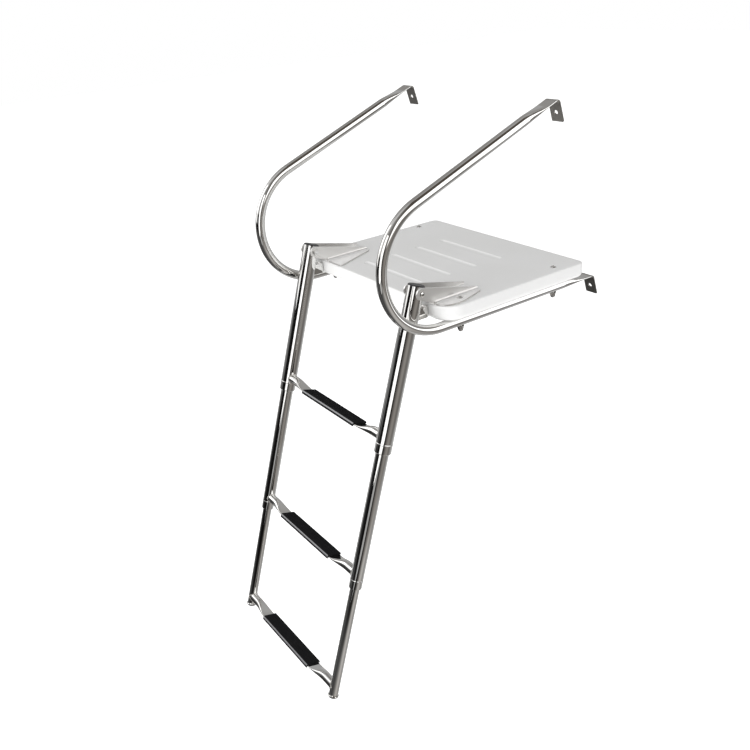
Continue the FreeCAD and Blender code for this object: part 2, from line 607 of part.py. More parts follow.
def guide(side, outer_diameter, inner_diameter, top):
    """The guide ring on the top of an inner tube, which runs in the tube outside it."""
    running = outer_diameter / 2 - LADDER_TUBE_WALL - SLIDING_CLEARANCE
    tube = inner_diameter / 2
    x = side * TUBE_X
    ring = cylinder(running, Vector(x, 0, top - GUIDE_LENGTH), Vector(x, 0, top))
    return ring.cut(cylinder(tube, Vector(x, 0, top - GUIDE_LENGTH - 1), Vector(x, 0, top + 1)))


def rung(drop, tube_diameter):
    """A round rung that is pressed flat under its tread pad and coped to the tubes."""
    half_flat = PAD_HALF_LENGTH + RUNG_FLAT_BEYOND_PAD
    half_t = PRESSED_THICKNESS / 2
    radius = RUNG_DIAMETER / 2
    round_from = half_flat + RUNG_PRESSING_LENGTH

    def bar(inset):
        solids = []
        for side in (-1, 1):
            start = Vector(side * round_from, 0, -drop)
            end = Vector(side * half_flat, 0, -drop)
            solids.append(pressed_loft(radius, inset, half_t, start, end, Z_AXIS,
                                       RUNG_FLAT_BELOW_AXIS))
            solids.append(cylinder(radius - inset, start, Vector(side * TUBE_X, 0, -drop)))
        return solids

    matrix = FreeCAD.Matrix(0, 1, 0, 0, -1, 0, 0, 0, 0, 0, 1, 0, 0, 0, 0, 1)
    place = FreeCAD.Placement(matrix)
    place.Base = Vector(-half_flat, 0, -drop - RUNG_FLAT_BELOW_AXIS)
    section = Part.Face(pressed_section(radius, 0, half_t, 1, place))
    solid = section.extrude(X_AXIS * (2 * half_flat)).fuse(bar(0))
    solid = solid.cut(bar(RUNG_WALL))
    for side in (-1, 1):
        x = side * TUBE_X
        solid = solid.cut(cylinder(tube_diameter / 2, Vector(x, 0, -drop - RUNG_DIAMETER),
                                   Vector(x, 0, RUNG_DIAMETER - drop)))
    return solid.removeSplitter()


def tread_pad(drop):
    """A ribbed tread pad with a round nose and a lip down over the rung's outward edge."""
    half_t = PRESSED_THICKNESS / 2
    flat = (PRESSED_THICKNESS + math.pi * (RUNG_DIAMETER - PRESSED_THICKNESS) / 2) / 2
    low = half_t - drop - RUNG_FLAT_BELOW_AXIS
    top = low + PAD_THICKNESS
    back = flat + PAD_OVERHANG
    front = -flat - PAD_LIP_THICKNESS
    half = PAD_HALF_LENGTH
    nose = PAD_NOSE_RADIUS
    slant = nose * (1 - math.sqrt(0.5))
    corners = [(front + nose, top), (back, top), (back, low), (-flat, low),
               (-flat, top - PAD_LIP_DEPTH), (front, top - PAD_LIP_DEPTH), (front, top - nose)]
    at = [Vector(-half, y, z) for y, z in corners]
    edges = [Part.makeLine(a, b) for a, b in zip(at, at[1:])]
    edges.append(Part.Arc(at[-1], Vector(-half, front + slant, top - slant), at[0]).toShape())
    solid = Part.Face(Part.Wire(edges)).extrude(X_AXIS * (2 * half))
    rims = [e for e in solid.Edges if abs(e.BoundBox.XLength) < 1e-6 and
            (e.BoundBox.ZMin > top - 1e-6 or e.BoundBox.YMax < front + nose + 1e-6) and
            e.BoundBox.YMin < back - 1e-6 and e.BoundBox.YLength + e.BoundBox.ZLength > 3.9]
    solid = solid.makeFillet(PAD_END_ROUNDING, rims)
    step = (back - front) / PAD_RIB_COUNT
    for index in range(PAD_RIB_COUNT):
        y = front + (index + 0.5) * step
        rib = cylinder(PAD_RIB_HEIGHT, Vector(PAD_RIB_END_INSET - half, y, top),
                       Vector(half - PAD_RIB_END_INSET, y, top))
        solid = solid.fuse(rib)
    return solid.removeSplitter()


def stop_lug(side):
    """A round-edged lug on the back of the outer tube that bears on the platform's front edge.

    Its bearing face stands upright while the ladder hangs at its lean, so it is drawn in
    place and cut to the tube."""
    x = side * TUBE_X
    top_z = -STOP_TOP_BELOW_PLATFORM
    bearing = PLATFORM_FRONT - STOP_GAP
    reach = PIVOT_ABOVE_PLATFORM - top_z + STOP_HEIGHT
    block = box(x - STOP_WIDTH / 2, x + STOP_WIDTH / 2, bearing - reach, bearing,
                top_z - STOP_HEIGHT, top_z)
    block = block.makeFillet(STOP_EDGE_RADIUS, edges_along(block, Z_AXIS,
                                                           lambda c: c.y > bearing - 1e-6))
    pivot = PIVOT + X_AXIS * x
    along = Vector(0, -math.sin(LEAN), -math.cos(LEAN))
    back = Vector(0, math.cos(LEAN), -math.sin(LEAN))
    ahead = box(-STOP_WIDTH, STOP_WIDTH, -2 * reach, 0, -2 * reach, 2 * reach)
    ahead.Placement = FreeCAD.Placement(pivot, FreeCAD.Rotation(Vector(0, 1, 0), back))
    block = block.cut(ahead)
    return block.cut(cylinder(UPPER_TUBE_DIAMETER / 2, pivot, pivot + along * (2 * reach)))


def end_plug(side):
    """The plug in the open top of an outer tube."""
    bore = UPPER_TUBE_DIAMETER / 2 - LADDER_TUBE_WALL
    cap = UPPER_TUBE_DIAMETER / 2 - PLUG_CAP_SETBACK
    low = BOLT_DIAMETER / 2 + PLUG_ABOVE_PIVOT_BOLT - TUBE_TOP_ABOVE_PIVOT
    profile = [(0, low), (bore, low), (bore, 0), (cap, 0), (cap, PLUG_CAP_HEIGHT - PLUG_CAP_CHAMFER),
               (cap - PLUG_CAP_CHAMFER, PLUG_CAP_HEIGHT), (0, PLUG_CAP_HEIGHT)]
    return turned(profile, Vector(side * TUBE_X, 0, TUBE_TOP_ABOVE_PIVOT), Z_AXIS)


def foot_cap(side):
    """The cap pressed into the lower end of the inner tube."""
    radius = LOWER_TUBE_DIAMETER / 2
    bore = radius - LADDER_TUBE_WALL
    rim = radius + FOOT_CAP_RIM_PROUD
    chamfer = FOOT_CAP_RIM / 2
    profile = [(0, 0), (rim - chamfer, 0), (rim, chamfer), (rim, FOOT_CAP_RIM), (bore, FOOT_CAP_RIM),
               (bore, FOOT_CAP_DEPTH), (0, FOOT_CAP_DEPTH)]
    return turned(profile, Vector(side * TUBE_X, 0, -LOWER_SECTION_REACH), Z_AXIS)


def hang(shape):
    """Swing a ladder piece from straight down to the ladder's lean, about the pivots."""
    shape.rotate(Vector(0, 0, 0), X_AXIS, -LADDER_LEAN_DEGREES)
    shape.translate(PIVOT)
    return shape


def root_pieces():
    """The pieces that are bolted to the boat."""
    pieces = {"platform": platform()}
    for name, side in SIDES.items():
        pieces["handrail_" + name] = handrail(side)
        pieces["hinge_bracket_" + name] = hinge_bracket(side)
        pieces["pivot_bolt_" + name] = pivot_bolt(side)
        pieces["pivot_nut_" + name] = pivot_nut(side)
        pieces["front_bolt_" + name] = platform_bolt(side, FRONT_BOLT_BEHIND_PIVOT, FOOT_THICKNESS)
        pieces["front_nut_" + name] = platform_nut(side, FRONT_BOLT_BEHIND_PIVOT)
        pieces["rear_bolt_" + name] = platform_bolt(side, REAR_BOLT_BEHIND_PIVOT, 0)
        pieces["rear_nut_" + name] = platform_nut(side, REAR_BOLT_BEHIND_PIVOT)
    return pieces


def ladder_pieces():
    """The three sections of the ladder, fully extended."""
    middle_top = SECTION_OVERLAP - UPPER_SECTION_REACH
    lower_top = SECTION_OVERLAP - MIDDLE_SECTION_REACH
    pieces = {}
    for name, side in SIDES.items():
        pieces["upper_tube_" + name] = hang(upper_tube(side))
        pieces["upper_plug_" + name] = hang(end_plug(side))
        pieces["upper_collar_" + name] = hang(collar(side, UPPER_TUBE_DIAMETER, MIDDLE_TUBE_DIAMETER,
                                                     UPPER_SECTION_REACH))
        pieces["stop_lug_" + name] = stop_lug(side)
        pieces["middle_tube_" + name] = hang(ladder_tube(side, MIDDLE_TUBE_DIAMETER, middle_top,
                                                         COLLAR_LENGTH - MIDDLE_SECTION_REACH))
        pieces["middle_guide_" + name] = hang(guide(side, UPPER_TUBE_DIAMETER, MIDDLE_TUBE_DIAMETER,
                                                    middle_top))
        pieces["middle_collar_" + name] = hang(collar(side, MIDDLE_TUBE_DIAMETER, LOWER_TUBE_DIAMETER,
                                                      MIDDLE_SECTION_REACH))
        pieces["lower_tube_" + name] = hang(lower_tube(side))
        pieces["lower_guide_" + name] = hang(guide(side, MIDDLE_TUBE_DIAMETER, LOWER_TUBE_DIAMETER,
                                                   lower_top))
        pieces["foot_cap_" + name] = hang(foot_cap(side))
    rungs = {"upper": (UPPER_RUNG_DROP, UPPER_TUBE_DIAMETER),
             "middle": (MIDDLE_RUNG_DROP, MIDDLE_TUBE_DIAMETER),
             "lower": (LOWER_RUNG_DROP, LOWER_TUBE_DIAMETER)}
    for name, (drop, diameter) in rungs.items():
        pieces[name + "_rung"] = hang(rung(drop, diameter))
        pieces[name + "_tread_pad"] = hang(tread_pad(drop))
    return pieces


def origin():
    """The middle of the bolt hole on the boat side of the right-hand lower flange."""
    low_tangent = Vector(0, RAIL_BEND_CENTRE_BEHIND_PIVOT, RAIL_LOW_Z)
    apex = meet_flange(low_tangent, Vector(0, 1, 0))
    hole = apex + DOWN_TRANSOM * (FLANGE_LENGTH - FLANGE_HOLE_FROM_END)
    return hole + INTO_BOAT * (PRESSED_THICKNESS / 2) + X_AXIS * RAIL_X


def main():
    os.makedirs("parts", exist_ok=True)
    move = origin() * -1
    pieces = root_pieces()
    pieces.update(ladder_pieces())
    for name, shape in pieces.items():
        shape.translate(move)
        solids = shape.Solids
        single = solids[0] if len(solids) == 1 else shape
        single.exportStep("parts/" + name + ".step")
        print(name, len(solids), shape.isValid(), round(shape.Volume))


main()
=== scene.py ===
import json
import math

import bpy
from mathutils import Matrix, Vector


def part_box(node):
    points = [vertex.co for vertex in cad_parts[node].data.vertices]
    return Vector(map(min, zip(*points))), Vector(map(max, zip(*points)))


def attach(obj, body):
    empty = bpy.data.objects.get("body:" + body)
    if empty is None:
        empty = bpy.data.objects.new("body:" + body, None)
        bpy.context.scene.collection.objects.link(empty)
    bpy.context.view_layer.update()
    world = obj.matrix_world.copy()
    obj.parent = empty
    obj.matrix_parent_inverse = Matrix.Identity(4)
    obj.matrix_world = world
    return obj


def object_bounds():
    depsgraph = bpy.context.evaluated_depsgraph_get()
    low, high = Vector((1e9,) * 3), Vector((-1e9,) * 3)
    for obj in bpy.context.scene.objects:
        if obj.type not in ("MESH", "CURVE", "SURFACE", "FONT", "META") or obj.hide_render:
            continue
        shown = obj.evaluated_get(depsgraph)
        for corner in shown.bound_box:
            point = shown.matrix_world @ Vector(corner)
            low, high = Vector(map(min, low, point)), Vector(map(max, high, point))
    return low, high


# The looks of a telescopic boarding ladder: polished stainless tubes, satin brackets, a white
# moulded platform and black tread pads, over a pale floor in soft light. Lengths are in metres.

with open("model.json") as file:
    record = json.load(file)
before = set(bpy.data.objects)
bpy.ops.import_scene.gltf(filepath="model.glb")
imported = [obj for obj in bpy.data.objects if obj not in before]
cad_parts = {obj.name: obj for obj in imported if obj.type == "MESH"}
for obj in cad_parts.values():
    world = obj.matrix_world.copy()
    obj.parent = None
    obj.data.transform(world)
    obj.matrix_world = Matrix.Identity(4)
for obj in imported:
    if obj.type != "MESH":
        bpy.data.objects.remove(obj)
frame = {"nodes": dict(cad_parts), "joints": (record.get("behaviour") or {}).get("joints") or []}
solid_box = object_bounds()

# Places that follow from the frame
joints = {joint["name"]: joint for joint in frame["joints"]}
PIVOT = Vector(joints["ladder_fold"]["pos_m"])
LADDER_UP = Vector(joints["middle_slide"]["axis"]).normalized()
LADDER_BACK = Vector((0, LADDER_UP.z, -LADDER_UP.y))
MIDDLE = (Vector(solid_box[0]) + Vector(solid_box[1])) / 2

# The transom on which the flanges lie, and the depths into it at which they turn dull
TRANSOM_SLOPE = math.radians(17.0)
INTO_BOAT = Vector((0, math.cos(TRANSOM_SLOPE), math.sin(TRANSOM_SLOPE)))
FLANGE_TURNS_DULL = (-0.011, -0.005)

# The camera of the photograph
PHOTO_WIDTH_PX = 750.0
FOCAL_LENGTH_PX = 832.671
CAMERA_PLACE = Vector((1.055782, -1.223703, 0.593355))
CAMERA_AZIMUTH = math.radians(56.687)
CAMERA_DOWN = math.radians(25.883)
CAMERA_ROLL = math.radians(-4.683)
SENSOR_WIDTH_MM = 36.0

# Rungs and their welds
RUNG_RADIUS = 0.0095
LOWER_TUBE_RADIUS = 0.0095
WELD_BEAD_RADIUS = 0.0014
WELD_BEAD_SHAPE = (1.0, 1.0, 0.55)
WELD_BEAD_SPACING = 0.0010
WELD_RING_STEPS = 96

# Where a tread pad's nose begins, outward from the plane of the ladder's tubes
PAD_NOSE = (0.0147, 0.0157)

# Brush marks to the metre on the brackets
BRUSHING_ACROSS = 900.0
BRUSHING_ALONG = 60.0

# Floor
FLOOR_BELOW_LADDER = 0.05
FLOOR_HALF_WIDTH = 12.0
FLOOR_GLOW = 0.65

# Colours of the finishes
PLAIN_WHITE = (1, 1, 1, 1)
POLISH_DULL = (0.73, 0.72, 0.70, 1)
POLISH_BRIGHT = (0.80, 0.80, 0.79, 1)
PRESSED_DARK = (0.30, 0.285, 0.265, 1)
PRESSED_LIGHT = (0.42, 0.405, 0.38, 1)
PLATE_DULL = (0.82, 0.81, 0.79, 1)
PLATE_BRIGHT = (0.88, 0.87, 0.86, 1)
# Painted light on the bracket foot, which faces up
PLATE_FOOT_PAINTED_LIGHT = (0.96, 0.955, 0.95, 1)
# Painted shade on the upright bracket ears, which face sideways
PLATE_EAR_PAINTED_SHADE = (0.55, 0.54, 0.52, 1)
WELD_STAINED = (0.62, 0.60, 0.57, 1)
WELD_BRIGHT = (0.74, 0.73, 0.71, 1)
PLATFORM_SHADE = (0.855, 0.855, 0.845, 1)
PLATFORM_WHITE = (0.885, 0.885, 0.88, 1)
PLATFORM_SCUFF = (0.78, 0.78, 0.765, 1)
RUBBER_BLACK = (0.015, 0.015, 0.016, 1)
RUBBER_DUST = (0.034, 0.033, 0.032, 1)
# Painted highlight on the tread pads' rounded nose
RUBBER_PAINTED_HIGHLIGHT = (0.30, 0.30, 0.31, 1)
PLASTIC_BLACK = (0.016, 0.016, 0.017, 1)
PLASTIC_GREY = (0.04, 0.04, 0.04, 1)
GUIDE_RUBBED = (0.70, 0.69, 0.65, 1)
GUIDE_CLEAN = (0.82, 0.82, 0.79, 1)
FLOOR_SHADE = (0.93, 0.93, 0.93, 1)
FLOOR_PALE = (0.95, 0.95, 0.95, 1)

# The studio as polished steel sees it. Bearings are in degrees from the front, positive to the
# right, and heights in degrees from the horizon. Brightness is a grey level of a screen.

# Bearing, brightness and warmth round the horizon, on the ground and higher up
SEEN_LEVEL = [(-180, 160, 0), (-105, 150, 0), (-74, 150, 0), (-64, 130, 0), (-50, 50, 0),
              (-26, 35, 0), (-10, 15, 0), (40, 15, 1), (54, 45, 2), (66, 90, 3), (84, 125, 4),
              (104, 130, 4), (114, 108, 3), (126, 100, 3), (150, 112, 2), (180, 160, 0)]
SEEN_BELOW = [(-180, 180, 0), (-150, 190, 0), (-130, 160, 1), (-110, 165, 1), (-90, 185, 0),
              (-72, 180, 0), (-45, 130, 0), (-22, 70, 0), (0, 60, 0), (30, 85, 1), (55, 125, 2),
              (78, 170, 3), (100, 170, 3), (120, 148, 3), (145, 132, 1), (180, 180, 0)]
SEEN_ABOVE = [(-180, 165, 0), (-110, 130, 2), (-72, 160, 0), (-30, 205, 0), (8, 140, 1),
              (55, 100, 2), (90, 70, 6), (138, 70, 6), (152, 120, 3), (180, 165, 0)]

# The heights over which the higher part begins and the depths over which the ground does.
# The ground's edge sinks towards the right, by a share of the bearing.
ABOVE_EDGE = (9.0, 14.0)
GROUND_EDGE = (9.0, 15.0)
GROUND_SINKS = 0.18
GROUND_SINKS_UP_TO = 120.0

# Soft-edged patches: left and right bearing, lower and upper height, and brightness
SEEN_PATCHES = [(-112.0, -72.0, -33.0, -10.0, 150), (-60.0, -34.0, -32.0, -8.0, 45),
                (-76.0, -34.0, -62.0, -30.0, 45), (-62.0, -32.0, -4.5, 1.0, 108),
                (-138.0, -117.0, 8.0, 29.0, 155), (-76.0, -56.0, 3.0, 40.0, 240)]
PATCH_SOFTNESS = 2.0

# The white box on the right, whose edges are soft. Past one bearing its lower edge sinks.
SIDE_LEFT_EDGE = (68.0, 74.0)
SIDE_RIGHT_EDGE = (140.0, 144.0)
SIDE_LOWER_EDGE = (5.0, 10.0)
SIDE_UPPER_EDGE = (37.0, 42.0)
SIDE_SINKS = 0.8
SIDE_SINKS_FROM = 105.0
SIDE_BRIGHTNESS = 300

# The even light of matt surfaces, as grey levels below, above, on the right and in front
MATT_BELOW = 212
MATT_ABOVE = 218
MATT_RIGHT = 160
MATT_FRONT = 226

# How much brighter the studio is to polished steel than its grey levels say
STEEL_BRIGHTNESS = 1.28

# Soft boxes for matt surfaces: place from the ladder's middle, size and power
SOFT_BOXES = {"front soft box": ((0.6, -2.6, 1.2), 1.8, 32.0),
              "side soft box": ((2.6, -0.2, 1.4), 1.6, 1.5)}

# Panels in one plane in front of the ladder: left, right, lower and upper edge, and radiance
FRONT_PANELS = {"right front panel": (0.1, 1.1, -0.34, 1.263, 1.6),
                "low front panel": (0.33, 1.05, -0.76, -0.34, 0.45),
                "left front panel": (-2.6, -0.85, 0.1, 2.0, 1.3)}
PANEL_PLACE = -1.712


class Wire:
    """One socket of a node tree. Arithmetic on it adds Math nodes to the tree."""

    def __init__(self, graph, socket):
        self.graph = graph
        self.socket = socket

    def __add__(self, other):
        return self.graph.maths("ADD", self, other)

    def __radd__(self, other):
        return self.graph.maths("ADD", other, self)

    def __sub__(self, other):
        return self.graph.maths("SUBTRACT", self, other)

    def __rsub__(self, other):
        return self.graph.maths("SUBTRACT", other, self)

    def __mul__(self, other):
        return self.graph.maths("MULTIPLY", self, other)

    def __rmul__(self, other):
        return self.graph.maths("MULTIPLY", other, self)

    def __truediv__(self, other):
        return self.graph.maths("DIVIDE", self, other)

    def __rtruediv__(self, other):
        return self.graph.maths("DIVIDE", other, self)

    def __neg__(self):
        return self.graph.maths("MULTIPLY", self, -1.0)

    def outputs(self):
        """Every named output of this wire's node."""
        return {output.name: Wire(self.graph, output)
                for output in self.socket.node.outputs if output.name}


class Graph:
    """A node tree with one way to add a node: its settings first, then its sockets."""

    def __init__(self, tree):
        self.tree = tree

    def add(self, kind, settings=None, sockets=None, out=0):
        """Adds a node and returns one of its outputs, if it has any."""
        node = self.tree.nodes.new(kind)
        for name, value in (settings or {}).items():
            if name == "stops":
                self.set_stops(node.color_ramp, value)
            else:
                setattr(node, name, value)
        for key, value in (sockets or {}).items():
            self.feed(node.inputs[key], value)
        return Wire(self, node.outputs[out]) if len(node.outputs) else None

    def feed(self, socket, value):
        """Links a wire to a socket, or sets the socket's own value."""
        if isinstance(value, Wire):
            self.tree.links.new(value.socket, socket)
        else:
            socket.default_value = value

    def set_stops(self, ramp, stops):
        """Gives a colour ramp its stops, as (position, colour) pairs in order."""
        while len(ramp.elements) < len(stops):
            ramp.elements.new(1.0)
        for element, (place, colour) in zip(ramp.elements, stops):
            element.position = place
            element.color = colour

    def maths(self, operation, *values):
        return self.add("ShaderNodeMath", {"operation": operation}, dict(enumerate(values)))

    def split(self, vector):
        """The parts of a vector, by their names X, Y and Z."""
        return self.add("ShaderNodeSeparateXYZ", sockets={0: vector}).outputs()

    def join(self, x, y, z):
        return self.add("ShaderNodeCombineXYZ", sockets={0: x, 1: y, 2: z})

    def mix(self, share, a, b):
        """A colour between a and b."""
        return self.add("ShaderNodeMix", {"data_type": "RGBA"}, {0: share, 6: a, 7: b}, out=2)

    def rise(self, value, start, end):
        """From 0 at start to 1 at end, smoothly."""
        return self.add("ShaderNodeMapRange", {"interpolation_type": "SMOOTHSTEP"},
                        {"Value": value, "From Min": start, "From Max": end})

    def fall(self, value, start, end):
        """From 1 at start to 0 at end, smoothly."""
        return self.rise(-value, -end, -start)

    def noise(self, place, scale, detail=2.0, roughness=0.5):
        return self.add("ShaderNodeTexNoise", sockets={"Vector": place, "Scale": scale,
                                                       "Detail": detail, "Roughness": roughness})

    def between(self, value, low, high):
        """Maps a value of 0 to 1 onto low to high."""
        return value * (high - low) + low


def grey(level, warmth=0.0):
    """A linear colour from a grey level of 0 to 255 as a screen shows it."""
    def linear(value):
        value = max(value, 0.0) / 255.0
        return value / 12.92 if value <= 0.04045 else ((value + 0.055) / 1.055) ** 2.4

    return (linear(level + warmth), linear(level), linear(level - warmth), 1.0)


def new_material(name):
    """A material with its graph, its shader's node and the place on the surface."""
    material = bpy.data.materials.new(name)
    material.use_nodes = True
    material.node_tree.nodes.clear()
    graph = Graph(material.node_tree)
    shader = graph.add("ShaderNodeBsdfPrincipled")
    graph.add("ShaderNodeOutputMaterial", sockets={"Surface": shader})
    place = graph.add("ShaderNodeTexCoord").outputs()["Object"]
    return material, graph, shader.socket.node, place


def facing(graph):
    """The way that the surface faces, in the piece's own directions."""
    return graph.split(graph.add("ShaderNodeTexCoord").outputs()["Normal"])


def bump(graph, shader, height, depth):
    """Raises the surface by a height of 0 to 1 times depth."""
    normal = graph.add("ShaderNodeBump",
                       sockets={"Strength": 1.0, "Distance": depth, "Height": height})
    graph.feed(shader.inputs["Normal"], normal)


def polished_steel():
    """Mirror-polished stainless steel with faint buffing marks and a few dull patches.

    The pressed flanges on the transom keep the dull grey of the press."""
    material, graph, shader, place = new_material("polished steel")
    polish = graph.rise(graph.noise(place, scale=14.0, detail=3.0), start=0.35, end=0.7)
    marks = graph.noise(place, scale=420.0, detail=4.0, roughness=0.7)
    scratches = graph.rise(marks, start=0.62, end=0.8)
    at = graph.split(place)
    flange = graph.rise(at["Y"] * INTO_BOAT.y + at["Z"] * INTO_BOAT.z, *FLANGE_TURNS_DULL)
    bright = graph.mix(polish, POLISH_DULL, POLISH_BRIGHT)
    pressed = graph.mix(marks, PRESSED_DARK, PRESSED_LIGHT)
    roughness = graph.between(polish, low=0.03, high=0.045) + scratches * 0.04 + flange * 0.33
    graph.feed(shader.inputs["Base Color"], graph.mix(flange, bright, pressed))
    graph.feed(shader.inputs["Roughness"], roughness)
    shader.inputs["Metallic"].default_value = 1.0
    ripple = graph.noise(place, scale=45.0, detail=1.0)
    bump(graph, shader, ripple + marks * 0.03, depth=0.00001)
    return material


def plate_steel():
    """Bright stainless plate with a satin skin and faint brushing along it.

    The upright ears, which face sideways, are coloured darker as painted shade. The foot on the
    platform, which faces up, is less metallic and coloured brighter as painted light."""
    material, graph, shader, place = new_material("plate steel")
    at = graph.split(place)
    across = BRUSHING_ACROSS
    stretched = graph.join(at["X"] * across, at["Y"] * BRUSHING_ALONG, at["Z"] * across)
    brushing = graph.noise(stretched, scale=1.0)
    tone = graph.rise(graph.noise(place, scale=22.0, detail=3.0), start=0.35, end=0.7)
    # Painted light and shade: plate facing up (the foot) is coloured brighter, plate facing
    # sideways (the ears) darker.
    way = facing(graph)
    ear = graph.rise(graph.maths("ABSOLUTE", way["X"]), start=0.6, end=0.9)
    foot = graph.rise(way["Z"], start=0.6, end=0.9)
    bright = graph.mix(foot, graph.mix(tone, PLATE_DULL, PLATE_BRIGHT), PLATE_FOOT_PAINTED_LIGHT)
    graph.feed(shader.inputs["Base Color"], graph.mix(ear * 0.6, bright, PLATE_EAR_PAINTED_SHADE))
    graph.feed(shader.inputs["Roughness"], graph.between(brushing, low=0.28, high=0.36))
    graph.feed(shader.inputs["Metallic"], graph.between(foot, low=0.75, high=0.25))
    bump(graph, shader, brushing, depth=0.000008)
    return material


def weld_steel():
    """Polished weld metal, a little duller and warmer than the tubes."""
    material, graph, shader, place = new_material("weld steel")
    tone = graph.rise(graph.noise(place, scale=160.0, detail=3.0), start=0.4, end=0.7)
    graph.feed(shader.inputs["Base Color"], graph.mix(tone, WELD_STAINED, WELD_BRIGHT))
    graph.feed(shader.inputs["Roughness"], graph.between(tone, low=0.22, high=0.32))
    shader.inputs["Metallic"].default_value = 1.0
    bump(graph, shader, graph.noise(place, scale=900.0), depth=0.00003)
    return material


def platform_plastic():
    """White moulded plastic with a slight gloss, a fine mould grain and faint scuffs."""
    material, graph, shader, place = new_material("platform plastic")
    cloud = graph.rise(graph.noise(place, scale=5.0, detail=4.0), start=0.3, end=0.7)
    rubs = graph.noise(place, scale=60.0, detail=6.0, roughness=0.7)
    scuff = graph.rise(rubs, start=0.62, end=0.8)
    clean = graph.mix(cloud, PLATFORM_SHADE, PLATFORM_WHITE)
    graph.feed(shader.inputs["Base Color"], graph.mix(scuff * 0.35, clean, PLATFORM_SCUFF))
    graph.feed(shader.inputs["Roughness"],
               graph.between(cloud, low=0.36, high=0.42) + scuff * 0.12)
    grain = graph.noise(place, scale=1600.0)
    swell = graph.noise(place, scale=90.0, detail=1.0)
    bump(graph, shader, grain * 0.35 + swell, depth=0.00004)
    return material


def tread_rubber():
    """Black tread rubber with a fine moulded grain and dust in it.

    The rounded nose, which faces outward and up, has a glossy coat, and a painted highlight
    lightens its colour."""
    material, graph, shader, place = new_material("tread rubber")
    grain = graph.noise(place, scale=1500.0, detail=3.0, roughness=0.65)
    specks = graph.noise(place, scale=55.0, detail=5.0, roughness=0.7)
    dust = graph.rise(specks, start=0.5, end=0.85)
    dusty = graph.mix(dust * 0.5, RUBBER_BLACK, RUBBER_DUST)
    at = graph.split(place)
    outward = (at["Y"] - PIVOT.y) * -LADDER_BACK.y + (at["Z"] - PIVOT.z) * -LADDER_BACK.z
    way = facing(graph)
    # Painted highlight: where the nose faces outward and up, its colour is lightened, and it also
    # gets a glossy coat.
    nose = (graph.rise(outward, *PAD_NOSE) * graph.rise(-way["Y"], start=0.25, end=0.5)
            * graph.rise(way["Z"], start=0.3, end=0.5))
    graph.feed(shader.inputs["Base Color"], graph.mix(nose * 0.6, dusty, RUBBER_PAINTED_HIGHLIGHT))
    graph.feed(shader.inputs["Roughness"],
               graph.between(grain, low=0.44, high=0.56) + dust * 0.1)
    shader.inputs["Specular IOR Level"].default_value = 0.0
    graph.feed(shader.inputs["Coat Weight"], nose)
    shader.inputs["Coat Roughness"].default_value = 0.09
    shader.inputs["Coat IOR"].default_value = 1.8
    bump(graph, shader, grain, depth=0.00002)
    return material


def black_plastic():
    """Black moulded plastic with a low sheen."""
    material, graph, shader, place = new_material("black plastic")
    shade = graph.noise(place, scale=90.0, detail=3.0)
    graph.feed(shader.inputs["Base Color"], graph.mix(shade, PLASTIC_BLACK, PLASTIC_GREY))
    graph.feed(shader.inputs["Roughness"], graph.between(shade, low=0.32, high=0.46))
    bump(graph, shader, graph.noise(place, scale=1200.0), depth=0.00003)
    return material


def guide_plastic():
    """Off-white bearing plastic, turned and slightly rubbed."""
    material, graph, shader, place = new_material("guide plastic")
    clean = graph.noise(place, scale=120.0, detail=4.0)
    graph.feed(shader.inputs["Base Color"], graph.mix(clean, GUIDE_RUBBED, GUIDE_CLEAN))
    graph.feed(shader.inputs["Roughness"], graph.between(clean, low=0.35, high=0.55))
    bump(graph, shader, graph.noise(place, scale=800.0), depth=0.00002)
    return material


def dress_nodes(finishes, bracket_finish):
    """Gives each solid the finish of its material slot, and the brackets their own."""
    for name, piece in frame["nodes"].items():
        for slot in piece.material_slots:
            finish = finishes[slot.material.name.split(".")[0]]
            slot.material = bracket_finish if name.startswith("hinge_bracket") else finish


